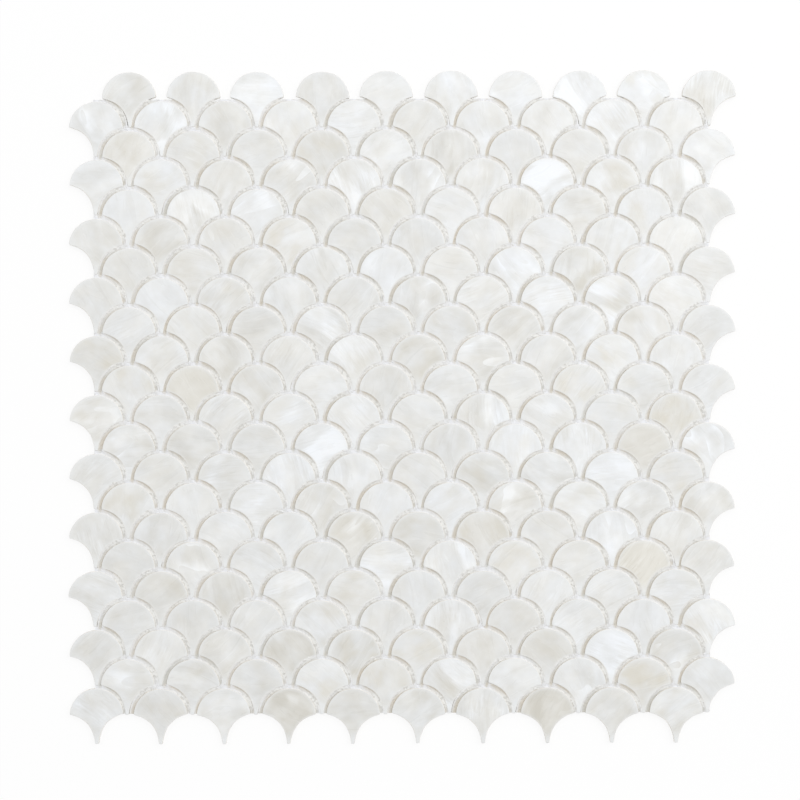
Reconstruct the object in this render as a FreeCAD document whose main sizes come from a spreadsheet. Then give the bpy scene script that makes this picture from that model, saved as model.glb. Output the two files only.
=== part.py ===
"""Mosaic sheet of fish scale tiles: rows of mother-of-pearl scales bonded to a square of glass-fibre net.

Frame, in millimetres: X runs along the rows, Y is the way the domes point and Z goes up from the net's
underside to the polished faces. The origin is under the middle of the sheet, on the underside.
"""
import FreeCAD, Part
import enum
import math
import os

import Sketcher

# Driving dimensions, in millimetres, and the counts
SIZES = {
    "row_count": 22,
    "scales_per_row": 10,
    "dome_radius": 12.35,
    "joint_width": 1.45,
    "tip_depth": 13.1,
    "tip_width": 2.0,
    "tip_joint": 1.55,
    "scale_thickness": 2.0,
    "thread_pitch": 5.0,
    "thread_width": 0.7,
    "warp_thickness": 0.25,
    "weft_thickness": 0.25,
    "net_inset_left": 10.0,
    "net_inset_right": 11.9,
    "net_inset_top": 12.7,
    "net_inset_bottom": 13.8,
}

# Sizes that follow from them, as expressions: a hollow takes in a dome of the next row with a joint at each
# side, and a tip ends one tip joint above the dome two rows below
HOLLOW_RADIUS = "(sizes.dome_radius + sizes.joint_width)"
COLUMN_PITCH = f"(2 * {HOLLOW_RADIUS} + sizes.tip_width)"
ROW_PITCH = "((sizes.tip_depth + sizes.tip_joint + sizes.dome_radius) / 2)"
SHEET_WIDTH = f"((sizes.scales_per_row - 0.5) * {COLUMN_PITCH} + 2 * sizes.dome_radius)"
SHEET_LENGTH = f"((sizes.row_count - 1) * {ROW_PITCH} + sizes.dome_radius + sizes.tip_depth)"
NET_WIDTH = f"({SHEET_WIDTH} - sizes.net_inset_left - sizes.net_inset_right)"
NET_LENGTH = f"({SHEET_LENGTH} - sizes.net_inset_top - sizes.net_inset_bottom)"
NET_THICKNESS = "(sizes.warp_thickness + sizes.weft_thickness)"

# Points of a line or an arc in a sketch, and the sketch's own origin
At = enum.IntEnum("At", "START END MIDDLE")
ORIGIN_POINT = (-1, At.START)


def make_sheet(doc):
    """The spreadsheet of driving dimensions, one named cell each."""
    sheet = doc.addObject("Spreadsheet::Sheet", "sizes")
    for line, (alias, value) in enumerate(SIZES.items(), start=1):
        sheet.set(f"A{line}", alias)
        sheet.set(f"B{line}", str(value))
        sheet.setAlias(f"B{line}", alias)
    doc.recompute()
    return sheet


def origin_feature(body, role):
    """The origin plane or axis of a body that has the given role."""
    return next(item for item in body.Origin.OriginFeatures if item.Role == role)


def new_body(doc, label):
    """A body for a set of like pieces that don't touch, with an empty sketch on its ground plane."""
    body = doc.addObject("PartDesign::Body", label)
    body.Label = label
    body.AllowCompound = True
    sketch = body.newObject("Sketcher::SketchObject", f"{label}_outline")
    sketch.AttachmentSupport = (origin_feature(body, "XY_Plane"), [""])
    sketch.MapMode = "FlatFace"
    return body, sketch


def bind_dimension(sketch, constraint, expression):
    """Add a dimension to a sketch and tie it to the sheet."""
    index = sketch.addConstraint(constraint)
    sketch.setExpression(f"Constraints[{index}]", expression)


def place(body, x, y, z):
    """Tie the place of a body to the sheet."""
    for axis, expression in zip("xyz", (x, y, z)):
        body.setExpression(f"Placement.Base.{axis}", expression)


def pad_and_repeat(body, sketch, thickness, role, extent, count):
    """Pad the outline of one piece and repeat it along an axis, over the given extent."""
    pad = body.newObject("PartDesign::Pad", f"{body.Label}_pad")
    pad.Profile = sketch
    pad.setExpression("Length", thickness)
    pattern = body.newObject("PartDesign::LinearPattern", f"{body.Label}_pattern")
    pattern.Originals = [pad]
    pattern.Direction = (origin_feature(body, role), [""])
    pattern.setExpression("Length", extent)
    pattern.setExpression("Occurrences", count)
    body.Tip = pattern


def arc(centre, radius, first, last):
    """An anticlockwise arc from its centre, radius and end angles in degrees."""
    circle = Part.Circle(FreeCAD.Vector(*centre, 0), FreeCAD.Vector(0, 0, 1), radius)
    return Part.ArcOfCircle(circle, math.radians(first), math.radians(last))


def draw_scale(sketch, sheet):
    """A fish scale about the middle of its dome: the dome, two hollows and the blunt tip between them."""
    dome = sheet.dome_radius
    hollow = dome + sheet.joint_width
    half_tip = sheet.tip_width / 2
    depth = sheet.tip_depth
    reach = hollow + half_tip
    sweep = math.degrees(math.acos((reach - dome) / hollow))
    half_tip_point = FreeCAD.Vector(half_tip, -depth, 0)
    dome_arc, left_arc, tip_line, right_arc = sketch.addGeometry([
        arc((0, 0), dome, 0, 180),
        arc((-reach, -depth), hollow, 0, sweep),
        Part.LineSegment(FreeCAD.Vector(-half_tip, -depth, 0), half_tip_point),
        arc((reach, -depth), hollow, 180 - sweep, 180),
    ])
    sketch.addConstraint([
        Sketcher.Constraint("Coincident", dome_arc, At.MIDDLE, *ORIGIN_POINT),
        Sketcher.Constraint("Coincident", dome_arc, At.END, left_arc, At.END),
        Sketcher.Constraint("Coincident", dome_arc, At.START, right_arc, At.START),
        Sketcher.Constraint("Coincident", left_arc, At.START, tip_line, At.START),
        Sketcher.Constraint("Coincident", right_arc, At.END, tip_line, At.END),
        Sketcher.Constraint("Horizontal", tip_line),
        Sketcher.Constraint("Horizontal", left_arc, At.MIDDLE, tip_line, At.START),
        Sketcher.Constraint("Horizontal", right_arc, At.MIDDLE, tip_line, At.END),
        Sketcher.Constraint("Equal", left_arc, right_arc),
    ])
    bind_dimension(sketch, Sketcher.Constraint("Radius", dome_arc, dome), "sizes.dome_radius")
    bind_dimension(sketch, Sketcher.Constraint("Radius", left_arc, hollow), HOLLOW_RADIUS)
    across_tip = Sketcher.Constraint("DistanceX", tip_line, At.START, tip_line, At.END, 2 * half_tip)
    bind_dimension(sketch, across_tip, "sizes.tip_width")
    right_of_middle = Sketcher.Constraint("DistanceX", *ORIGIN_POINT, tip_line, At.END, half_tip)
    bind_dimension(sketch, right_of_middle, "sizes.tip_width / 2")
    down_to_tip = Sketcher.Constraint("DistanceY", tip_line, At.START, *ORIGIN_POINT, depth)
    bind_dimension(sketch, down_to_tip, "sizes.tip_depth")


def draw_thread(sketch, along_x, along_y):
    """The plan of one flat thread: a rectangle with its lower left corner at the sketch's origin."""
    corners = [FreeCAD.Vector(*point, 0) for point in ((0, 0), (1, 0), (1, 1), (0, 1))]
    ends = corners[1:] + corners[:1]
    sides = sketch.addGeometry([Part.LineSegment(a, b) for a, b in zip(corners, ends)])
    bottom, right, top, left = sides
    for side, following in zip(sides, sides[1:] + sides[:1]):
        sketch.addConstraint(Sketcher.Constraint("Coincident", side, At.END, following, At.START))
    sketch.addConstraint([
        Sketcher.Constraint("Coincident", bottom, At.START, *ORIGIN_POINT),
        Sketcher.Constraint("Horizontal", bottom),
        Sketcher.Constraint("Horizontal", top),
        Sketcher.Constraint("Vertical", right),
        Sketcher.Constraint("Vertical", left),
    ])
    bind_dimension(sketch, Sketcher.Constraint("DistanceX", bottom, At.START, bottom, At.END, 1), along_x)
    bind_dimension(sketch, Sketcher.Constraint("DistanceY", right, At.START, right, At.END, 1), along_y)


def make_scale_row(doc, sheet, number):
    """One row of scales on the net. Odd rows stand half a pitch to the right of even ones."""
    body, sketch = new_body(doc, f"scale_row_{number:02d}")
    draw_scale(sketch, sheet)
    extent = f"(sizes.scales_per_row - 1) * {COLUMN_PITCH}"
    pad_and_repeat(body, sketch, "sizes.scale_thickness", "X_Axis", extent, "sizes.scales_per_row")
    shift = "+" if number % 2 else "-"
    first_x = f"-{extent} / 2 {shift} {COLUMN_PITCH} / 4"
    row_y = f"{SHEET_LENGTH} / 2 - sizes.dome_radius - {number - 1} * {ROW_PITCH}"
    place(body, first_x, row_y, NET_THICKNESS)
    return body


def make_threads(doc, label, along_x, along_y, thickness, role, extent, z):
    """One set of the net's threads, evenly spread from edge to edge at no less than the thread pitch."""
    body, sketch = new_body(doc, label)
    draw_thread(sketch, along_x, along_y)
    count = f"floor({extent} / sizes.thread_pitch) + 1"
    pad_and_repeat(body, sketch, thickness, role, extent, count)
    left = f"-{SHEET_WIDTH} / 2 + sizes.net_inset_left"
    bottom = f"-{SHEET_LENGTH} / 2 + sizes.net_inset_bottom"
    place(body, left, bottom, z)
    return body


def make_net(doc):
    """The backing net: warp threads along Y on the underside, weft threads along X on top of them."""
    warp_extent = f"({NET_WIDTH} - sizes.thread_width)"
    weft_extent = f"({NET_LENGTH} - sizes.thread_width)"
    return [
        make_threads(doc, "net_warp", "sizes.thread_width", NET_LENGTH, "sizes.warp_thickness",
                     "X_Axis", warp_extent, "0"),
        make_threads(doc, "net_weft", NET_WIDTH, "sizes.thread_width", "sizes.weft_thickness",
                     "Y_Axis", weft_extent, "sizes.warp_thickness"),
    ]


def check(doc, bodies):
    """Stop if anything in the document failed or a piece came out empty or broken."""
    for item in doc.Objects:
        if "Invalid" in item.State or "Error" in item.State:
            raise RuntimeError(f"{item.Label} failed: {item.State}")
    for body in bodies:
        if body.Shape.isNull() or not body.Shape.isValid():
            raise RuntimeError(f"{body.Label} has no valid shape")


def main():
    doc = FreeCAD.newDocument("fish_scale_sheet")
    sheet = make_sheet(doc)
    bodies = make_net(doc)
    for number in range(1, int(sheet.row_count) + 1):
        bodies.append(make_scale_row(doc, sheet, number))
    doc.recompute()
    check(doc, bodies)
    os.makedirs("parts", exist_ok=True)
    for body in bodies:
        body.Shape.exportStep(f"parts/{body.Label}.step")
        print(body.Label, len(body.Shape.Solids), "solids", round(body.Shape.Volume, 1), "mm3")
    box = Part.makeCompound([body.Shape for body in bodies]).BoundBox
    print("sheet", round(box.XLength, 3), "x", round(box.YLength, 3), "x", round(box.ZLength, 3), "mm")


main()
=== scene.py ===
"""Mosaic sheet of mother-of-pearl fish scales on a woven net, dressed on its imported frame.

Mesh code works in millimetres, in the frame of the CAD, and make_piece turns them into metres.
"""
import math
import random

import bmesh
import bpy
import numpy as np
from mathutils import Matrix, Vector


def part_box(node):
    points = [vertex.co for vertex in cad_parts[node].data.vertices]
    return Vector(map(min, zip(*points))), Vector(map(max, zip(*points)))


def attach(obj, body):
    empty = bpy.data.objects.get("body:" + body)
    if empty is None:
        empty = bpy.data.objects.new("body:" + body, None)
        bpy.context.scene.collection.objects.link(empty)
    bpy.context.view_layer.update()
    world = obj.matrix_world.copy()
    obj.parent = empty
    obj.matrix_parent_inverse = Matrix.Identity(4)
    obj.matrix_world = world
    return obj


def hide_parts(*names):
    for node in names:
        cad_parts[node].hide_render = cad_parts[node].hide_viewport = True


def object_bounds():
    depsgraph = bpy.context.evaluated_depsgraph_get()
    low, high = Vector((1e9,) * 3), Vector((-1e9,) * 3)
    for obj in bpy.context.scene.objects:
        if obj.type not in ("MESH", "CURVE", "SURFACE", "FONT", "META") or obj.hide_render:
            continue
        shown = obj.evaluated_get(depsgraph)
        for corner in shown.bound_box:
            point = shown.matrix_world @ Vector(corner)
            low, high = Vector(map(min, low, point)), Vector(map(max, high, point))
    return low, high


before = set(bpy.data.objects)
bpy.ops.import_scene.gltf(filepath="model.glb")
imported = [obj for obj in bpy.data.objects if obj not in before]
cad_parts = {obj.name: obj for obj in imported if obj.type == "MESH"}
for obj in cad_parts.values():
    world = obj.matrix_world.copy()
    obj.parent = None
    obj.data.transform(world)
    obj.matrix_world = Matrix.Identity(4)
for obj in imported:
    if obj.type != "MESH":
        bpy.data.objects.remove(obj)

CAD_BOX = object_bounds()
MM = 0.001
# Seeds of the random draws, to which a row or a set of threads adds its own number
ROW_SEED = 22000
THREAD_SEED = 22
BOND_SEED = 29


def node_box(node):
    """Lowest and highest corner of a CAD node, in millimetres."""
    low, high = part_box(node)
    return np.array(low) / MM, np.array(high) / MM


# Sizes of the scales, from the boxes of the first two rows and the CAD's own joint and tip width
ROWS = sorted(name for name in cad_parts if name.startswith("scale_row_"))
ROW_LOW, ROW_HIGH = node_box(ROWS[0])
NEXT_LOW, NEXT_HIGH = node_box(ROWS[1])
ROW_PITCH = ROW_HIGH[1] - NEXT_HIGH[1]
COLUMN_PITCH = 2 * (ROW_LOW[0] - NEXT_LOW[0])
COLUMNS = round((ROW_HIGH[0] - ROW_LOW[0]) / COLUMN_PITCH)
JOINT_WIDTH = 1.45
TIP_WIDTH = 2.0
HOLLOW_RADIUS = (COLUMN_PITCH - TIP_WIDTH) / 2
DOME_RADIUS = HOLLOW_RADIUS - JOINT_WIDTH
TIP_DEPTH = ROW_HIGH[1] - ROW_LOW[1] - DOME_RADIUS
THICKNESS = ROW_HIGH[2] - ROW_LOW[2]
SEAT = ROW_LOW[2]
FACE = SEAT + THICKNESS
# Share that the corners are eased by, share that the tip narrows by and over which length, and the points
# along the dome, a hollow and the tip
CORNER_EASE = 0.22
TIP_TAPER = 0.22
TAPER_LENGTH = 4.0
DOME_STEPS = 36
HOLLOW_STEPS = 16
TIP_STEPS = 3

# Sizes of the net, from the boxes of its two sets of threads and the CAD's own width and pitch of them. In
# the photograph it ends a little further in at the left
LEFT_EDGE_IN = 1.4
NET_LOW = node_box("net_warp")[0] + (LEFT_EDGE_IN, 0, 0)
NET_HIGH = node_box("net_weft")[1]
THREAD_WIDTH = 0.7
THREAD_PITCH = 5.0


# Meshes

def make_piece(name, points, faces, material, replaced=(), attributes=None, smooth=True):
    """A mesh in the frame, with its vector attributes, that rides on the part's one body."""
    mesh = bpy.data.meshes.new(name)
    mesh.from_pydata((np.asarray(points) * MM).tolist(), [], faces)
    for key, values in (attributes or {}).items():
        layer = mesh.attributes.new(key, "FLOAT_VECTOR", "POINT")
        layer.data.foreach_set("vector", np.asarray(values, dtype=np.float32).ravel())
    mesh.polygons.foreach_set("use_smooth", [smooth] * len(mesh.polygons))
    mesh.materials.append(material)
    piece = bpy.data.objects.new(name, mesh)
    bpy.context.collection.objects.link(piece)
    if replaced:
        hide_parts(*replaced)
    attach(piece, "root")


def arc_points(middle, radius, first, last, count):
    """Points along an arc, from its first angle in radians and up to its last, which is left out."""
    angles = first + (last - first) * np.arange(count) / count
    return np.column_stack([middle[0] + radius * np.cos(angles), middle[1] + radius * np.sin(angles)])


def scale_outline():
    """Points round a scale, anticlockwise from its right-hand corner, about the middle of its dome."""
    reach = COLUMN_PITCH / 2
    away = math.hypot(reach, TIP_DEPTH)
    along = (DOME_RADIUS ** 2 - HOLLOW_RADIUS ** 2 + away ** 2) / (2 * away)
    corner = math.acos(along / DOME_RADIUS) - math.atan2(TIP_DEPTH, reach)
    rise = DOME_RADIUS * math.sin(corner) + TIP_DEPTH
    inward = reach - DOME_RADIUS * math.cos(corner)
    sweep = math.atan2(rise, inward)
    tip = np.linspace(HOLLOW_RADIUS - reach, reach - HOLLOW_RADIUS, TIP_STEPS + 1)[:-1]
    outline = np.concatenate([
        arc_points((0, 0), DOME_RADIUS, corner, math.pi - corner, DOME_STEPS),
        arc_points((-reach, -TIP_DEPTH), HOLLOW_RADIUS, sweep, 0, HOLLOW_STEPS),
        np.column_stack([tip, np.full(len(tip), -TIP_DEPTH)]),
        arc_points((reach, -TIP_DEPTH), HOLLOW_RADIUS, math.pi, math.pi - sweep, HOLLOW_STEPS),
    ])
    # The tip narrows a little towards its end
    outline[:, 0] *= 1 - np.interp(outline[:, 1], (-TIP_DEPTH, TAPER_LENGTH - TIP_DEPTH), (TIP_TAPER, 0))
    # Averaging with the neighbours eases the corners
    beside = (np.roll(outline, 1, axis=0) + np.roll(outline, -1, axis=0)) / 2
    return outline + CORNER_EASE * (beside - outline)


# The edge is worn and stained along the hollows, most of all at the left, where the edge faces away from
# the light and its stain is partly painted shade: the depth that is worn off, and the strength by the share
# of the way down each hollow
WEAR_DEPTH = 0.25
WEAR = {0: 0.0, 0.15: 0.2, 0.4: 1.0, 0.65: 0.9, 0.9: 0.0}
WEAR_LEFT = 1.0
WEAR_RIGHT = 0.5


def edge_wear():
    """How far the edge is worn at each point of a scale's outline."""
    down = np.interp(np.arange(HOLLOW_STEPS) / HOLLOW_STEPS, list(WEAR), list(WEAR.values()))
    return np.concatenate([
        np.zeros(DOME_STEPS), WEAR_LEFT * down, np.zeros(TIP_STEPS + 1), WEAR_RIGHT * down[:0:-1],
    ])


# Section of a scale from its underside to its face: how far in from the outline, how far below the face,
# how much of the surface takes the painted highlight of the rim, and how much is sawn wall
SECTION = [
    (0.14, THICKNESS, 0.0, 1.0),
    (0.00, THICKNESS - 0.14, 0.0, 1.0),
    (0.00, 0.22, 0.0, 1.0),
    (0.03, 0.10, 0.2, 0.7),
    (0.10, 0.035, 0.6, 0.3),
    (0.24, 0.005, 0.9, 0.0),
    (0.42, 0.00, 0.8, 0.0),
]
# The face goes on inward in rings that shrink towards a spine, from above the tip to the middle of the
# dome: the share of the way, and how much of the surface there takes the painted highlight of the rim
FACE_RINGS = ((0.04, 0.5), (0.10, 0.2), (0.30, 0.0), (0.62, 0.0))
SPINE_ABOVE_TIP = 3.0
SPINE_END = SPINE_ABOVE_TIP - TIP_DEPTH
# Share of the wear's stain, partly painted shade, that shows, by the distance in from the edge
WEAR_STAIN_AND_SHADE = {0: 0.6, 0.3: 0.4, 0.9: 0.0}
# Waves that make the edge uneven: how many go round the outline, and how high they are
EDGE_WAVES = (2, 3, 5, 8)
EDGE_HEIGHT = 0.03


def scale_mesh(outline, rng):
    """Points, painted rim highlight, and wall tan with painted shade at the worn edge, of one scale about
    the middle of its dome, with a slightly uneven edge.
    """
    turn = np.arctan2(outline[:, 1], outline[:, 0])
    uneven = sum(
        rng.gauss(0, EDGE_HEIGHT) * np.sin(waves * turn + rng.uniform(0, math.tau)) for waves in EDGE_WAVES
    )
    along = np.roll(outline, -1, axis=0) - np.roll(outline, 1, axis=0)
    along /= np.linalg.norm(along, axis=1)[:, None]
    inward = np.column_stack([-along[:, 1], along[:, 0]])
    wear = edge_wear()
    outline = outline + inward * (uneven + WEAR_DEPTH * wear)[:, None]
    rings = []
    edges = []
    for inset, drop, rim, wall in SECTION:
        ring = outline + inward * inset
        # The wear's tan is partly painted shade, on edges that face away from the light
        stain = wear * np.interp(inset, list(WEAR_STAIN_AND_SHADE), list(WEAR_STAIN_AND_SHADE.values()))
        rings.append(np.column_stack([ring, np.full(len(ring), THICKNESS - drop)]))
        edges.append(np.column_stack([np.full(len(ring), rim), np.maximum(stain, wall)]))
    face = rings[-1]
    spine = np.column_stack([np.zeros(len(face)), np.clip(face[:, 1], SPINE_END, 0), face[:, 2]])
    for share, rim in FACE_RINGS:
        rings.append(face + share * (spine - face))
        edges.append(np.tile((rim, 0), (len(face), 1)))
    middles = np.array([[0, 0, 0], [0, 0, THICKNESS]])
    return np.concatenate(rings + [middles]), np.concatenate(edges + [np.array([[0, 1], [0, 0]])])


def scale_faces(count, rings):
    """Faces of one scale: bands between its rings, closed by a fan at each end."""
    faces = []
    under = count * rings
    over = under + 1
    for i in range(count):
        j = (i + 1) % count
        faces.append((under, j, i))
        for ring in range(rings - 1):
            low, high = ring * count, (ring + 1) * count
            faces.append((low + i, low + j, high + j, high + i))
        top = (rings - 1) * count
        faces.append((over, top + i, top + j))
    return faces


# The scales were laid by hand: most of them are turned a little clockwise, and each row lies a little to
# the left of the one above it. Turns and tilts are in degrees
LAY_TURN = -0.5
TURN_SPREAD = 0.9
TILT_SPREAD = 0.22
SHIFT_SPREAD = (0.18, 0.13)
ROW_DRIFT = -0.055


def dome_x(number, node, column):
    """Middle of a scale's dome across the sheet, with the drift of its row."""
    low, high = node_box(node)
    from_middle = column - (COLUMNS - 1) / 2
    drift = ROW_DRIFT * (number - (len(ROWS) + 1) / 2)
    return (low[0] + high[0]) / 2 + from_middle * COLUMN_PITCH + drift


def lay(points, x, y, rng):
    """Set a scale down by hand: a little turned, shifted and tilted about its place."""
    turn = math.radians(rng.gauss(LAY_TURN, TURN_SPREAD))
    tilt = [math.radians(rng.gauss(0, TILT_SPREAD)) for _ in range(2)]
    shift = (x + rng.gauss(0, SHIFT_SPREAD[0]), y + rng.gauss(0, SHIFT_SPREAD[1]), SEAT)
    cos, sin = math.cos(turn), math.sin(turn)
    laid = points @ np.array([[cos, sin, 0], [-sin, cos, 0], [0, 0, 1]])
    lift = laid[:, 0] * tilt[0] + laid[:, 1] * tilt[1]
    laid[:, 2] += lift * laid[:, 2] / THICKNESS
    return laid + shift


# Radii of the curves that the shell's growth bands follow, and how wide the stretch of shell is that the
# scales are cut from
BAND_RADII = (40, 120)
SHELL_STRETCH = 500


def grain(points, rng):
    """Place in the shell's growth: along the bands, across them, which curve, and a depth of its own."""
    turn = rng.uniform(0, math.pi)
    cos, sin = math.cos(turn), math.sin(turn)
    along = points[:, 0] * cos + points[:, 1] * sin
    across = points[:, 1] * cos - points[:, 0] * sin
    bend = rng.choice((-1, 1)) / rng.uniform(*BAND_RADII)
    across = across + bend * along ** 2 / 2
    along = along + rng.uniform(0, SHELL_STRETCH)
    across = across + rng.uniform(0, SHELL_STRETCH)
    return np.column_stack([along, across, points[:, 2]])


# Kinds of figure in the shell: how common each is, and how strong its parts are. The flash is a painted
# highlight of the shell's lustre
STYLES = {
    "plain": {"weight": 50, "clouds": 1.0, "bands": 0.2, "silk": 0.0, "folds": 0.1, "painted_flash": 0.0},
    "banded": {"weight": 17, "clouds": 0.9, "bands": 0.8, "silk": 0.1, "folds": 0.2, "painted_flash": 0.1},
    "folded": {"weight": 15, "clouds": 1.0, "bands": 0.3, "silk": 0.1, "folds": 1.0, "painted_flash": 0.3},
    "silky": {"weight": 11, "clouds": 0.8, "bands": 0.4, "silk": 1.0, "folds": 0.2, "painted_flash": 0.3},
    "bright": {"weight": 7, "clouds": 0.8, "bands": 0.4, "silk": 0.6, "folds": 0.3, "painted_flash": 1.0},
}
FIGURE = ("clouds", "bands", "silk")
# Marks: folds, and the flash, a painted highlight of the shell's lustre
MARK = ("folds", "painted_flash")
# The scales that catch the eye, by row and column: the kind of figure, how light and how warm
STANDOUTS = {
    (1, 3): ("bright", 0.5, -1),
    (1, 7): ("folded", 2.3, -1),
    (1, 9): ("folded", 1.0, -1),
    (2, 1): ("folded", 0.5, -1),
    (2, 2): ("bright", 1.8, -1),
    (3, 1): ("plain", -0.5, 3),
    (3, 5): ("plain", 1.4, 0),
    (3, 6): ("banded", -1.7, 0),
    (4, 8): ("bright", 2.0, -2),
    (4, 9): ("plain", -0.3, 0),
    (5, 1): ("plain", 1.9, -2),
    (5, 5): ("plain", -0.5, 3),
    (5, 8): ("plain", -0.8, 1),
    (7, 5): ("plain", 2.3, -2),
    (7, 7): ("folded", 1.6, -1),
    (8, 8): ("silky", 2.4, -1),
    (11, 2): ("plain", -1.0, 4),
    (13, 4): ("bright", 1.0, -2),
    (13, 7): ("bright", 1.8, -1),
    (13, 9): ("plain", -1.2, 3),
    (14, 9): ("silky", 2.6, -2),
    (15, 6): ("plain", 1.7, -2),
    (16, 5): ("folded", -1.2, 3),
    (16, 7): ("banded", -1.6, 2),
    (17, 9): ("silky", -1.0, 5),
    (18, 3): ("banded", -1.9, 1),
    (19, 8): ("silky", 0.8, -1),
    (20, 4): ("plain", -2.3, 1),
    (20, 9): ("silky", 3.2, -2),
    (22, 4): ("folded", -4.2, 2),
    (22, 8): ("banded", -4.2, 3),
}
# How far light or dark and warm or cool the other scales are at most
USUAL_TONE = 1.5
# How stained any scale is at most, how rare that is, and the least and most strength of its figure
STAIN_MOST = 0.6
STAIN_RARITY = 4
FIGURE_STRENGTH = (0.6, 1.2)


def pick_look(number, column, rng):
    """The figure of a scale, and how light, how warm and how stained it is."""
    name = rng.choices(list(STYLES), [style["weight"] for style in STYLES.values()])[0]
    light, warm = (min(max(rng.gauss(0, 1), -USUAL_TONE), USUAL_TONE) for _ in range(2))
    stain = STAIN_MOST * rng.random() ** STAIN_RARITY
    if (number, column + 1) in STANDOUTS:
        name, light, warm = STANDOUTS[number, column + 1]
    return STYLES[name], (light, warm, stain)


def make_row(number, node, outline, material):
    """One row of laid scales, in the place of its CAD row."""
    rng = random.Random(ROW_SEED + number)
    middle_y = node_box(node)[1][1] - DOME_RADIUS
    faces_of_one = scale_faces(len(outline), len(SECTION) + len(FACE_RINGS))
    points, faces = [], []
    layers = {"grain": [], "tone": [], "figure": [], "mark": [], "edge": []}
    for column in range(COLUMNS):
        shape, edge = scale_mesh(outline, rng)
        start = sum(len(part) for part in points)
        points.append(lay(shape, dome_x(number, node, column), middle_y, rng))
        faces.extend(tuple(start + i for i in face) for face in faces_of_one)
        style, tone = pick_look(number, column, rng)
        strength = rng.uniform(*FIGURE_STRENGTH)
        layers["grain"].append(grain(shape, rng))
        layers["tone"].append(np.tile(tone, (len(shape), 1)))
        layers["figure"].append(np.tile([strength * style[key] for key in FIGURE], (len(shape), 1)))
        layers["mark"].append(np.tile([strength * style[key] for key in MARK] + [0], (len(shape), 1)))
        layers["edge"].append(np.column_stack([edge, shape[:, 1]]))
    attributes = {key: np.concatenate(values) for key, values in layers.items()}
    make_piece(f"scales_{number:02d}", np.concatenate(points), faces, material, [node], attributes)


# Half sizes of a thread's flat section, how far it sways up and down as it passes the others, how far it
# strays to the sides, and the least and most share of its width
THREAD_HALF = (THREAD_WIDTH / 2, 0.1)
SWAY = 0.12
THREAD_STRAY = 0.05
THREAD_SWELL = (0.85, 1.15)
THREAD_SIDES = 8
# Distance between the fibres of one thread and the next in the pattern of the yarn
FIBRE_STEP = 37


def thread_faces(start, rings, along):
    """Faces of one thread from the index of its first point: bands between its rings, and its two ends."""
    faces = []
    for ring in range(rings - 1):
        low = start + ring * THREAD_SIDES
        high = low + THREAD_SIDES
        for i in range(THREAD_SIDES):
            j = (i + 1) % THREAD_SIDES
            faces.append((low + i, low + j, high + j, high + i))
    end = start + (rings - 1) * THREAD_SIDES
    faces.append(tuple(start + i for i in reversed(range(THREAD_SIDES))))
    faces.append(tuple(end + i for i in range(THREAD_SIDES)))
    # Along Y the rings turn the other way
    return [face[::-1] for face in faces] if along == 1 else faces


def make_threads(name, node, along, material):
    """One set of the net's threads, woven over and under the other set. along is 0 for X and 1 for Y."""
    rng = random.Random(THREAD_SEED + along)
    across = 1 - along
    first, last = NET_LOW + THREAD_HALF[0], NET_HIGH - THREAD_HALF[0]
    counts = [math.floor((last[axis] - first[axis]) / THREAD_PITCH) for axis in (0, 1)]
    pitch = [(last[axis] - first[axis]) / counts[axis] for axis in (0, 1)]
    stations = np.linspace(NET_LOW[along], NET_HIGH[along], 2 * counts[along] + 3)
    middle_z = (NET_LOW[2] + NET_HIGH[2]) / 2
    angles = np.arange(THREAD_SIDES) * math.tau / THREAD_SIDES
    points, faces, fibres = [], [], []
    for number in range(counts[across] + 1):
        side = (-1) ** (number + along)
        sway = SWAY * side * np.cos(math.pi * (stations - first[along]) / pitch[along])
        stray = np.array([rng.gauss(0, THREAD_STRAY) for _ in stations])
        swell = np.array([rng.uniform(*THREAD_SWELL) for _ in stations])
        start = len(points) * len(stations) * THREAD_SIDES
        block = np.empty((len(stations), THREAD_SIDES, 3))
        block[:, :, along] = stations[:, None]
        middle = first[across] + number * pitch[across] + stray
        block[:, :, across] = middle[:, None] + THREAD_HALF[0] * swell[:, None] * np.cos(angles)
        block[:, :, 2] = middle_z + sway[:, None] + THREAD_HALF[1] * np.sin(angles)
        points.append(block.reshape(-1, 3))
        fibre = np.empty_like(block)
        fibre[:, :, 0] = stations[:, None] + number * FIBRE_STEP
        fibre[:, :, 1] = THREAD_HALF[0] * np.cos(angles)
        fibre[:, :, 2] = number
        fibres.append(fibre.reshape(-1, 3))
        faces.extend(thread_faces(start, len(stations), along))
    attributes = {"fibre": np.concatenate(fibres)}
    make_piece(name, np.concatenate(points), faces, material, [node], attributes)
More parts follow.
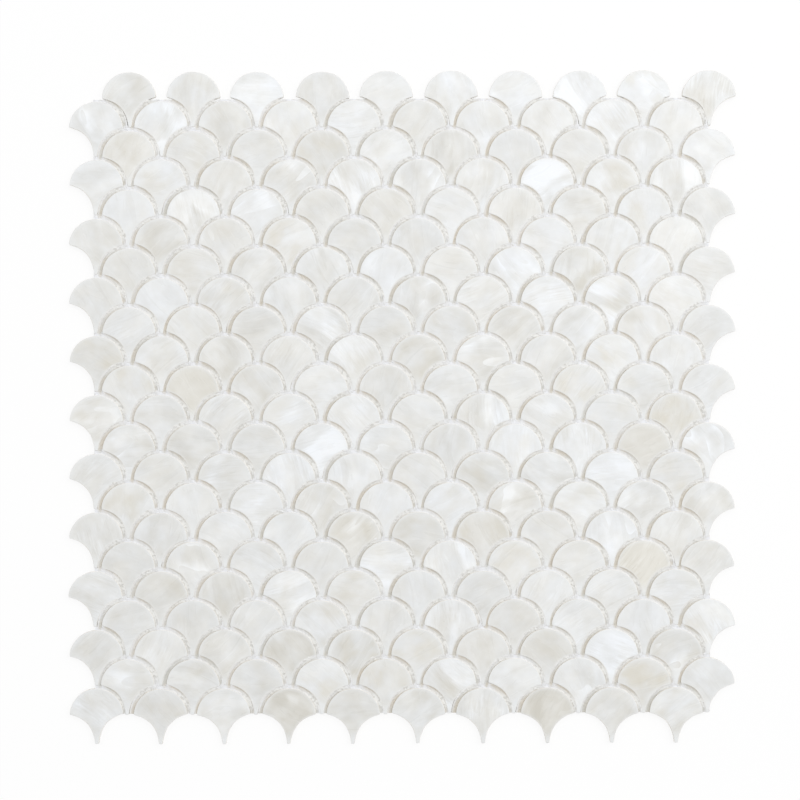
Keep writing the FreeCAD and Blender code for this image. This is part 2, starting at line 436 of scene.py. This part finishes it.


# The bond round a dome, by angle in degrees from its right-hand side: how far it lies below the faces, and
# how far it is stained, each at the dome's edge, in mid joint and at the hollow's edge. The stain is partly
# the bond's own tan and partly painted shade of the joint, darkest at the left of the dome and along the
# hollow's edge at the upper right. It is squeezed up clean by the tip above, and lies deepest at the left
BOND = {
    -6: ((0.45, 0.40, 0.45), (0.70, 0.40, 0.60)),
    2: ((0.36, 0.16, 0.05), (0.60, 0.10, 0.00)),
    8: ((0.42, 0.34, 0.05), (0.60, 0.90, 0.00)),
    13: ((0.40, 0.28, 0.05), (0.55, 0.42, 0.00)),
    24: ((0.32, 0.23, 0.05), (0.35, 0.15, 0.05)),
    36: ((0.27, 0.28, 0.20), (0.10, 0.20, 0.40)),
    46: ((0.26, 0.34, 0.32), (0.15, 0.35, 0.80)),
    54: ((0.26, 0.36, 0.34), (0.20, 0.50, 1.00)),
    68: ((0.26, 0.36, 0.34), (0.20, 0.55, 1.00)),
    74: ((0.26, 0.31, 0.26), (0.10, 0.35, 0.60)),
    78: ((0.25, 0.28, 0.12), (0.05, 0.30, 0.25)),
    82: ((0.27, 0.34, 0.45), (0.15, 0.65, 1.00)),
    86: ((0.25, 0.28, 0.50), (0.00, 0.35, 0.90)),
    90: ((0.24, 0.24, 0.26), (0.00, 0.00, 0.00)),
    94: ((0.25, 0.24, 0.27), (0.00, 0.00, 0.00)),
    98: ((0.30, 0.28, 0.45), (0.30, 0.40, 0.70)),
    102: ((0.36, 0.27, 0.12), (0.40, 0.30, 0.25)),
    114: ((0.42, 0.27, 0.04), (0.50, 0.25, 0.05)),
    130: ((0.50, 0.34, 0.05), (0.85, 0.45, 0.10)),
    148: ((0.55, 0.42, 0.16), (1.00, 0.75, 0.25)),
    160: ((0.55, 0.46, 0.22), (1.00, 0.85, 0.35)),
    186: ((0.55, 0.52, 0.40), (1.00, 1.00, 0.60)),
}
# How far it is dulled and speckled with painted shade, by angle
BOND_SPECKLED = {
    -6: 0.2, 8: 0.4, 20: 1.0, 40: 1.0, 55: 0.3, 88: 0.0, 100: 0.2, 115: 1.0, 135: 0.6, 150: 0.2, 186: 0.2,
}
# How brown its stain and painted shade are by angle, where 0 is between olive and brown
BOND_BROWN_SHADE = {-6: -1.0, 36: -0.8, 50: 1.2, 72: 1.6, 90: 0.0, 110: -0.8, 135: 0.2, 150: 0.7, 186: 0.7}
# Stations across the joint: the share of its width from the dome out, and which of the places each takes
BOND_STATIONS = [(-0.3, 0), (0.06, 0), (0.35, 1), (0.65, 1), (0.94, 2), (1.3, 2)]
# Steps along a collar, how lumpy it is, the least that it lies below the faces, how far it reaches below the
# scales into the net, and the least and most share of its stain and painted shade
BOND_STEPS = 48
BOND_LUMPS = 0.05
BOND_LEAST = 0.02
BOND_IN_NET = 0.10
BOND_STAIN_AND_SHADE_SHARES = (0.7, 1.2)
# Collars of next rows overlap, so those of odd rows reach a little further down and out than the others
BOND_REACH = 0.06
# The bond along the border of the net: its width, the level of its upper side and its thickness
BORDER_BAND = 6.0
BORDER_LEVEL = 0.30
BORDER_THICKNESS = 0.12


def add_strip(mesh, sections):
    """A closed strip through sections of as many points each."""
    for before, after in zip(sections, sections[1:]):
        for i in range(len(before)):
            j = (i + 1) % len(before)
            mesh.faces.new((before[i], before[j], after[j], after[i]))
    mesh.faces.new(sections[0][::-1])
    mesh.faces.new(sections[-1])


def add_collar(mesh, bond, x, y, under, rng):
    """The bond round one dome: a lumpy strip that follows the joint, with its stains and painted shade."""
    angles = list(BOND)
    table = np.array(list(BOND.values())).reshape(len(BOND), -1)
    hue = rng.gauss(0, 1)
    # How strong this collar's stain is, which is partly painted shade of the joint
    strength = rng.uniform(*BOND_STAIN_AND_SHADE_SHARES)
    sections = []
    for angle in np.linspace(angles[0], angles[-1], BOND_STEPS + 1):
        cos, sin = math.cos(math.radians(angle)), math.sin(math.radians(angle))
        speckled = np.interp(angle, list(BOND_SPECKLED), list(BOND_SPECKLED.values()))
        brown = hue + np.interp(angle, list(BOND_BROWN_SHADE), list(BOND_BROWN_SHADE.values()))
        depths, stains = np.array([np.interp(angle, angles, column) for column in table.T]).reshape(2, -1)
        depths = [max(depth + rng.gauss(0, BOND_LUMPS), BOND_LEAST) for depth in depths]
        # The hollow's middle lies a little above the dome's, so the joint widens upwards
        width = JOINT_WIDTH + (ROW_PITCH - TIP_DEPTH) * sin
        section = []
        for share, place in BOND_STATIONS:
            radius = DOME_RADIUS + share * width
            vert = mesh.verts.new((x + radius * cos, y + radius * sin, FACE - depths[place]))
            # Stain, partly painted shade of the joint, its hue, and how far it is speckled with painted
            # shade
            vert[bond] = (strength * stains[place], brown, speckled)
            section.append(vert)
        for share, _ in (BOND_STATIONS[-1], BOND_STATIONS[0]):
            radius = DOME_RADIUS + share * width
            section.append(mesh.verts.new((x + radius * cos, y + radius * sin, FACE - under)))
        sections.append(section)
    add_strip(mesh, sections)


def add_band(mesh, low, high):
    """A strip of bond along the border of the net."""
    under, over = BORDER_LEVEL - BORDER_THICKNESS, BORDER_LEVEL
    corners = ((low[1], under), (high[1], under), (high[1], over), (low[1], over))
    add_strip(mesh, [[mesh.verts.new((x, *corner)) for corner in corners] for x in (low[0], high[0])])


def trim(mesh, low, high):
    """Cut a mesh off at the sides of a rectangle and close it there."""
    cuts = {
        (low[0], 0, 0): (-1, 0, 0),
        (high[0], 0, 0): (1, 0, 0),
        (0, low[1], 0): (0, -1, 0),
        (0, high[1], 0): (0, 1, 0),
    }
    for place, direction in cuts.items():
        geometry = mesh.verts[:] + mesh.edges[:] + mesh.faces[:]
        bmesh.ops.bisect_plane(mesh, geom=geometry, plane_co=place, plane_no=direction, clear_outer=True)
        bmesh.ops.holes_fill(mesh, edges=[edge for edge in mesh.edges if edge.is_boundary])


def make_bond(material):
    """The bond that shows in the joints and along the border, trimmed to the edges of the net."""
    rng = random.Random(BOND_SEED)
    points, faces, stains = [], [], []
    for odd in (0, 1):
        mesh = bmesh.new()
        layer = mesh.verts.layers.float_vector.new("bond")
        under = THICKNESS + BOND_IN_NET + odd * BOND_REACH
        for number in range(2 - odd, len(ROWS) + 1, 2):
            node = ROWS[number - 1]
            y = node_box(node)[1][1] - DOME_RADIUS
            # The bond goes on past the first dome of an odd row, which stands back from the border
            for column in range(-odd, COLUMNS):
                add_collar(mesh, layer, dome_x(number, node, column), y, under, rng)
        inset = BOND_REACH * (2 - odd)
        trim(mesh, NET_LOW + inset, NET_HIGH - inset)
        if odd:
            left, bottom = NET_LOW[:2] + inset
            right, top = NET_HIGH[:2] - inset
            aside = BORDER_BAND + BOND_REACH
            add_band(mesh, (left, bottom), (left + BORDER_BAND, top))
            add_band(mesh, (right - BORDER_BAND, bottom), (right, top))
            add_band(mesh, (left + aside, top - BORDER_BAND), (right - aside, top))
        bmesh.ops.recalc_face_normals(mesh, faces=mesh.faces[:])
        mesh.verts.index_update()
        start = len(points)
        points.extend(tuple(vert.co) for vert in mesh.verts)
        faces.extend(tuple(start + vert.index for vert in face.verts) for face in mesh.faces)
        stains.extend(tuple(vert[layer]) for vert in mesh.verts)
        mesh.free()
    make_piece("bond", points, faces, material, attributes={"bond": stains}, smooth=False)


# Materials

class Graph:
    """A material's nodes, with a call for each kind that the materials use."""

    def __init__(self, name):
        self.material = bpy.data.materials.new(name)
        self.material.use_nodes = True
        self.tree = self.material.node_tree
        self.tree.nodes.clear()

    def add(self, kind, inputs, **settings):
        node = self.tree.nodes.new(f"ShaderNode{kind}")
        for name, value in settings.items():
            setattr(node, name, value)
        for name, value in inputs.items():
            self.join(value, node.inputs[name])
        return node

    def join(self, value, socket):
        if isinstance(value, bpy.types.NodeSocket):
            self.tree.links.new(value, socket)
        else:
            socket.default_value = value

    def attribute(self, name):
        return self.add("Attribute", {}, attribute_name=name).outputs["Vector"]

    def split(self, vector):
        return self.add("SeparateXYZ", {"Vector": vector}).outputs

    def calc(self, operation, first, second):
        return self.add("Math", {0: first, 1: second}, operation=operation).outputs[0]

    def more(self, start, value, factor):
        return self.add("Math", {0: value, 1: factor, 2: start}, operation="MULTIPLY_ADD").outputs[0]

    def centred(self, value):
        return self.calc("SUBTRACT", value, 0.5)

    def stretch(self, vector, factors):
        return self.add("VectorMath", {0: vector, 1: factors}, operation="MULTIPLY").outputs[0]

    def noise(self, vector, detail=2.0, roughness=0.5, distortion=0.0):
        inputs = {
            "Vector": vector, "Scale": 1.0, "Detail": detail,
            "Roughness": roughness, "Distortion": distortion,
        }
        return self.add("TexNoise", inputs).outputs

    def ramp(self, value, low, high, first=0.0, last=1.0):
        inputs = {"Value": value, "From Min": low, "From Max": high, "To Min": first, "To Max": last}
        return self.add("MapRange", inputs, interpolation_type="SMOOTHSTEP").outputs["Result"]

    def blend(self, factor, first, second, kind="MIX"):
        inputs = {"Factor": factor, 6: first, 7: second}
        return self.add("Mix", inputs, data_type="RGBA", blend_type=kind).outputs[2]

    def bump(self, height, strength, distance):
        inputs = {"Height": height, "Strength": strength, "Distance": distance}
        return self.add("Bump", inputs).outputs["Normal"]

    def finish(self, inputs):
        shader = self.add("BsdfPrincipled", inputs)
        output = self.add("OutputMaterial", {})
        self.tree.links.new(shader.outputs[0], output.inputs["Surface"])
        return self.material


# Noises of the shell: waves to the millimetre along the growth bands, across them and in depth, and settings
SHELL_NOISES = {
    "clouds": ((0.08, 0.11, 0.1), {"detail": 2.0}),
    "mottle": ((0.25, 0.32, 0.1), {"detail": 5.0, "roughness": 0.6}),
    "bands": ((0.04, 0.18, 0.1), {"detail": 2.5, "distortion": 0.8}),
    "lines": ((0.10, 1.1, 0.1), {"detail": 3.0, "roughness": 0.55, "distortion": 0.6}),
    "sweep": ((0.03, 0.07, 0.1), {"detail": 1.0, "distortion": 0.4}),
    "fade": ((0.12, 0.12, 0.1), {"detail": 1.0}),
    "layers": ((0.2, 0.2, 5.0), {"detail": 2.0}),
}
# Colours of the shell: from dark to light, tints from cool to warm, its stains, its painted rim highlight
# and its sawn layers
SHELL_DARK = (0.647, 0.631, 0.580, 1)
SHELL_LIGHT = (0.944, 0.959, 0.970, 1)
TINT_COOL = (0.986, 1.0, 1.026, 1)
TINT_WARM = (1.009, 1.0, 0.979, 1)
SHELL_STAIN = (0.77, 0.70, 0.53, 1)
SHELL_RIM_HIGHLIGHT = (0.845, 0.86, 0.865, 1)
SAWN_DARK = (0.78, 0.73, 0.64, 1)
SAWN_LIGHT = (0.86, 0.82, 0.75, 1)
# How light plain shell is, from dark to light, and how much its tone and each part of its figure add; the
# flash adds a painted highlight
PLAIN_SHELL = 0.48
ADDED_LIGHT = {
    "tone": 0.095, "clouds": 1.05, "mottle": 0.36, "bands": 0.75, "silk": 0.9, "folds": 0.42, "painted_flash": 0.42,
}
# Folds in one sweep of the shell, how late each of them rises, and where in the noise they and the silk fade
FOLD_COUNT = 5.0
FOLD_RISE = 2.5
FADE_EDGE = (0.4, 0.65)
# Where in the sweep a flash, a painted highlight of the shell's lustre, begins and is full, and how ragged
# the lines make its edge
FLASH_HIGHLIGHT_EDGE = (0.52, 0.68)
FLASH_HIGHLIGHT_RAGGED = 0.12
# How far the warmth of a scale moves its tint, and where in the sum the tint is coolest and warmest
TINT_PULL = 0.09
TINT_ENDS = (0.15, 0.85)
# Stains: where in the clouds they are none and full, their share there, and on warm scales the warmths
# between which the whole scale takes them, and their share
STAIN_CLOUDS = (0.55, 0.3)
STAIN_SHARE = 0.4
STAIN_WARMTHS = (2.0, 6.0)
STAIN_WARM_SHARE = 0.24
# Painted highlight, paler at the rim and at the tip: its share at the rim, its share at the tip, and the
# heights between which the tip's share fades, in millimetres from the middle of the dome
RIM_HIGHLIGHT_SHARE = 0.65
TIP_LIGHT_SHARE = 0.75
TIP_LIGHT_HEIGHTS = (-12.0, -6.0)
# How much the growth bands and the silk stand out in relief
BAND_RELIEF = 0.5
SILK_RELIEF = 0.6


def shell_figure(graph, noises, clouds):
    """Each part of the shell's figure, with the flash as a painted highlight, as strong as the scale has it.
    """
    cloudy, banded, silky = graph.split(graph.attribute("figure"))
    folded, flash_highlight, _ = graph.split(graph.attribute("mark"))
    lines, sweep = noises["lines"]["Fac"], noises["sweep"]["Fac"]
    fade = graph.ramp(noises["fade"]["Fac"], *FADE_EDGE)
    # Folds rise slowly and drop at once, as overlapping growth layers do
    folds = graph.calc("FRACT", graph.calc("MULTIPLY", sweep, FOLD_COUNT), 0.0)
    step = graph.calc("POWER", folds, FOLD_RISE)
    # The flash: a painted highlight of the shell's lustre
    glow = graph.ramp(graph.more(sweep, lines, FLASH_HIGHLIGHT_RAGGED), *FLASH_HIGHLIGHT_EDGE)
    return {
        "clouds": graph.calc("MULTIPLY", cloudy, graph.centred(clouds)),
        "mottle": graph.centred(noises["mottle"]["Fac"]),
        "bands": graph.calc("MULTIPLY", banded, graph.centred(noises["bands"]["Fac"])),
        "silk": graph.calc("MULTIPLY", silky, graph.calc("MULTIPLY", fade, graph.centred(lines))),
        "folds": graph.calc("MULTIPLY", folded, graph.calc("MULTIPLY", fade, step)),
        "painted_flash": graph.calc("MULTIPLY", flash_highlight, glow),
    }


def nacre():
    """Polished mother-of-pearl: clouds, growth bands, silk and flashes that are a painted highlight, a
    painted highlight at the rim and the tip, and tan on the sawn wall and, partly as painted shade, at the
    worn edge.
    """
    graph = Graph("nacre")
    place = graph.attribute("grain")
    noises = {}
    for name, (waves, settings) in SHELL_NOISES.items():
        noises[name] = graph.noise(graph.stretch(place, waves), **settings)
    lightness, warmth, stain = graph.split(graph.attribute("tone"))
    rim, wall, up = graph.split(graph.attribute("edge"))
    clouds, hue, _ = graph.split(noises["clouds"]["Color"])
    figure = shell_figure(graph, noises, clouds)
    light = graph.more(PLAIN_SHELL, lightness, ADDED_LIGHT["tone"])
    for part, value in figure.items():
        light = graph.more(light, value, ADDED_LIGHT[part])
    # Where the shell is darker it is also warmer
    colour = graph.blend(light, SHELL_DARK, SHELL_LIGHT)
    warm = graph.ramp(graph.more(hue, warmth, TINT_PULL), *TINT_ENDS)
    tint = graph.blend(warm, TINT_COOL, TINT_WARM)
    colour = graph.blend(1.0, colour, tint, "MULTIPLY")
    amount = graph.calc("MULTIPLY", stain, STAIN_SHARE)
    in_clouds = graph.calc("MULTIPLY", graph.ramp(clouds, *STAIN_CLOUDS), amount)
    all_over = graph.ramp(warmth, *STAIN_WARMTHS, 0.0, STAIN_WARM_SHARE)
    colour = graph.blend(graph.calc("MAXIMUM", in_clouds, all_over), colour, SHELL_STAIN)
    # Painted highlight along the rim, and painted light towards the tip
    tip = graph.ramp(up, *TIP_LIGHT_HEIGHTS, TIP_LIGHT_SHARE, 0.0)
    painted_highlight = graph.calc("MAXIMUM", graph.calc("MULTIPLY", rim, RIM_HIGHLIGHT_SHARE), tip)
    colour = graph.blend(painted_highlight, colour, SHELL_RIM_HIGHLIGHT)
    # The wall share also carries the worn edge's tan, partly painted shade
    sawn = graph.blend(noises["layers"]["Fac"], SAWN_DARK, SAWN_LIGHT)
    colour = graph.blend(wall, colour, sawn)
    bands = noises["bands"]["Fac"]
    height = graph.more(graph.calc("MULTIPLY", bands, BAND_RELIEF), figure["silk"], SILK_RELIEF)
    return graph.finish({
        "Base Color": colour,
        "Roughness": graph.ramp(bands, 0.3, 0.7, 0.22, 0.36),
        "IOR": 1.53,
        "Coat Weight": 0.15,
        "Coat Roughness": 0.12,
        "Normal": graph.bump(height, 0.10, 0.0004),
    })


# Noises of the bond: waves to the metre
BOND_PATCHES = (180, 180, 180)
BOND_SPECKS = (1300, 1300, 1300)
BOND_GRAINS = (750, 750, 750)
# Colours of the bond: clean, dulled where it is speckled, its stains with painted shade, and its specks of
# painted shade
BOND_CLEAN = (0.85, 0.86, 0.89, 1)
BOND_DULL = (0.87, 0.865, 0.84, 1)
OLIVE_STAIN_AND_SHADE = (0.60, 0.595, 0.555, 1)
BROWN_STAIN_AND_SHADE = (0.635, 0.59, 0.51, 1)
SHADE_SPECKS = (0.615, 0.605, 0.57, 1)
# How far the hue of a collar moves its stain and painted shade, where in the sum it is olive and brown, how
# uneven it is, where in the grains the specks of painted shade begin and are full, and their share
HUE_PULL = 0.11
HUE_ENDS = (0.25, 0.8)
STAIN_AND_SHADE_UNEVEN = 0.4
SHADE_SPECK_EDGE = (0.51, 0.61)
SHADE_SPECK_SHARE = 0.7


def bond_film():
    """Milky bond with its olive and brown stain and painted shade of the joints, dulled and speckled with
    painted shade at the sides.
    """
    graph = Graph("bond_film")
    place = graph.add("TexCoord", {}).outputs["Object"]
    patches = graph.noise(graph.stretch(place, BOND_PATCHES), detail=3.0)["Fac"]
    specks = graph.noise(graph.stretch(place, BOND_SPECKS), detail=2.0, roughness=0.6)["Fac"]
    grains = graph.noise(graph.stretch(place, BOND_GRAINS), detail=1.0)["Fac"]
    stain_and_shade, hue, speckled = graph.split(graph.attribute("bond"))
    brown = graph.ramp(graph.more(patches, hue, HUE_PULL), *HUE_ENDS)
    stain = graph.blend(brown, OLIVE_STAIN_AND_SHADE, BROWN_STAIN_AND_SHADE)
    amount = graph.more(stain_and_shade, graph.centred(patches), STAIN_AND_SHADE_UNEVEN)
    clean = graph.blend(speckled, BOND_CLEAN, BOND_DULL)
    # The stain is partly painted shade of the joint
    colour = graph.blend(graph.ramp(amount, 0.0, 1.0), clean, stain)
    # Dark specks of painted shade
    shade_specks = graph.calc("MULTIPLY", speckled, graph.ramp(grains, *SHADE_SPECK_EDGE, 0.0, SHADE_SPECK_SHARE))
    colour = graph.blend(shade_specks, colour, SHADE_SPECKS)
    return graph.finish({
        "Base Color": colour,
        "Roughness": graph.ramp(specks, 0.3, 0.7, 0.35, 0.6),
        "Normal": graph.bump(specks, 0.35, 0.0003),
    })


# Noises of the yarn: waves to the millimetre along a thread and across it, and from thread to thread
YARN_FIBRES = (0.5, 14, 1)
YARN_KNOTS = (0.3, 1, 1)
# Colours of the yarn: from dark to bright fibres, and coated knots
YARN_DARK = (0.78, 0.78, 0.79, 1)
YARN_BRIGHT = (0.95, 0.95, 0.96, 1)
YARN_COATED = (0.86, 0.83, 0.77, 1)
# Where in their noise the knots begin and are full, and their share
KNOT_EDGE = (0.5, 0.8)
KNOT_SHARE = 0.5


def thread():
    """Glass-fibre yarn: fine fibres along it, bright white."""
    graph = Graph("thread")
    place = graph.attribute("fibre")
    fibres = graph.noise(graph.stretch(place, YARN_FIBRES), detail=3.0)["Fac"]
    knots = graph.noise(graph.stretch(place, YARN_KNOTS), detail=2.0)["Fac"]
    colour = graph.blend(fibres, YARN_DARK, YARN_BRIGHT)
    colour = graph.blend(graph.ramp(knots, *KNOT_EDGE, 0.0, KNOT_SHARE), colour, YARN_COATED)
    return graph.finish({
        "Base Color": colour,
        "Roughness": graph.ramp(fibres, 0.2, 0.8, 0.4, 0.65),
        "Normal": graph.bump(fibres, 0.6, 0.0002),
    })


# Stage

# The camera, in metres: the width that it sees at the faces, its height above them and the point that it
# looks at. Its turn is in radians and its sensor in millimetres
FRAME_WIDTH = 0.3675
CAMERA_HEIGHT = 0.75
CAMERA_AIM = (-0.00103, 0.0033)
CAMERA_TURN = -0.0035
SENSOR = 36.0


def make_camera():
    """A camera straight above the faces, with the photograph's framing."""
    data = bpy.data.cameras.new("camera")
    data.sensor_width = SENSOR
    data.lens = SENSOR * CAMERA_HEIGHT / FRAME_WIDTH
    camera = bpy.data.objects.new("camera", data)
    camera.location = (*CAMERA_AIM, CAMERA_HEIGHT + CAD_BOX[1][2])
    camera.rotation_euler = (0, 0, CAMERA_TURN)
    bpy.context.collection.objects.link(camera)
    bpy.context.scene.camera = camera


# Level of the even light from all round, where 1 shows a colour as written
WORLD_LEVEL = 0.615
# Soft lamps: level on the sheet, direction from +X towards +Y and height, in degrees, and their distance and
# radius in metres
LAMPS = {"key": (0.27, 35, 48), "fill": (0.09, 125, 50)}
LAMP_DISTANCE = 2.2
LAMP_RADIUS = 1.3


def seen_rays(tree):
    """1 for rays that see the background itself: from the camera, off gloss and through glass."""
    path = tree.nodes.new("ShaderNodeLightPath")
    total = path.outputs["Is Camera Ray"]
    for name in ("Is Glossy Ray", "Is Transmission Ray"):
        either = tree.nodes.new("ShaderNodeMath")
        either.operation = "MAXIMUM"
        tree.links.new(total, either.inputs[0])
        tree.links.new(path.outputs[name], either.inputs[1])
        total = either.outputs[0]
    return total


def make_light():
    """An even white world and two large soft lamps from above."""
    world = bpy.data.worlds.new("world")
    world.use_nodes = True
    bpy.context.scene.world = world
    tree = world.node_tree
    strength = tree.nodes.new("ShaderNodeMapRange")
    strength.inputs["To Min"].default_value = WORLD_LEVEL
    tree.links.new(seen_rays(tree), strength.inputs["Value"])
    background = tree.nodes["Background"]
    background.inputs["Color"].default_value = (1, 1, 1, 1)
    tree.links.new(strength.outputs["Result"], background.inputs["Strength"])
    for name, (level, azimuth, height) in LAMPS.items():
        make_lamp(name, level, math.radians(azimuth), math.radians(height))


def make_lamp(name, level, azimuth, height):
    """A large soft lamp that faces the sheet and lights it at a level, where 1 shows a colour as written."""
    data = bpy.data.lights.new(name, "AREA")
    data.shape = "DISK"
    data.size = 2 * LAMP_RADIUS
    data.energy = level * math.pi ** 2 * (LAMP_DISTANCE ** 2 + LAMP_RADIUS ** 2) / math.sin(height)
    lamp = bpy.data.objects.new(name, data)
    away = (math.cos(azimuth) * math.cos(height), math.sin(azimuth) * math.cos(height), math.sin(height))
    lamp.location = [LAMP_DISTANCE * part for part in away]
    lamp.rotation_euler = (math.pi / 2 - height, 0, azimuth + math.pi / 2)
    bpy.context.collection.objects.link(lamp)


# The floor shows as white, in metres: half its side, the share of it that glows near the sheet, where the
# shadow falls, and the distances from the middle between which that rises to all of it
FLOOR_HALF = 4.0
FLOOR_GLOW = 0.85
FLOOR_CLEAR = (0.25, 0.6)


def make_floor():
    """A white floor that takes a light shadow."""
    graph = Graph("floor")
    matte = graph.add("BsdfDiffuse", {"Color": (1, 1, 1, 1)})
    glow = graph.add("Emission", {"Color": (1, 1, 1, 1), "Strength": 1.0})
    place = graph.add("TexCoord", {}).outputs["Object"]
    away = graph.add("VectorMath", {0: place}, operation="LENGTH").outputs["Value"]
    level = graph.ramp(away, *FLOOR_CLEAR, FLOOR_GLOW, 1.0)
    share = graph.calc("MULTIPLY", seen_rays(graph.tree), level)
    mixed = graph.add("MixShader", {0: share, 1: matte.outputs[0], 2: glow.outputs[0]})
    output = graph.add("OutputMaterial", {})
    graph.tree.links.new(mixed.outputs[0], output.inputs["Surface"])
    mesh = bpy.data.meshes.new("floor")
    half = FLOOR_HALF
    corners = [(-half, -half, 0), (half, -half, 0), (half, half, 0), (-half, half, 0)]
    mesh.from_pydata(corners, [], [(0, 1, 2, 3)])
    mesh.materials.append(graph.material)
    floor = bpy.data.objects.new("floor", mesh)
    bpy.context.collection.objects.link(floor)


def main():
    outline = scale_outline()
    shell = nacre()
    for number, node in enumerate(ROWS, start=1):
        make_row(number, node, outline, shell)
    yarn = thread()
    make_threads("warp_threads", "net_warp", 1, yarn)
    make_threads("weft_threads", "net_weft", 0, yarn)
    make_bond(bond_film())
    make_camera()
    make_light()
    make_floor()
    bpy.context.scene.view_settings.view_transform = "Standard"


main()
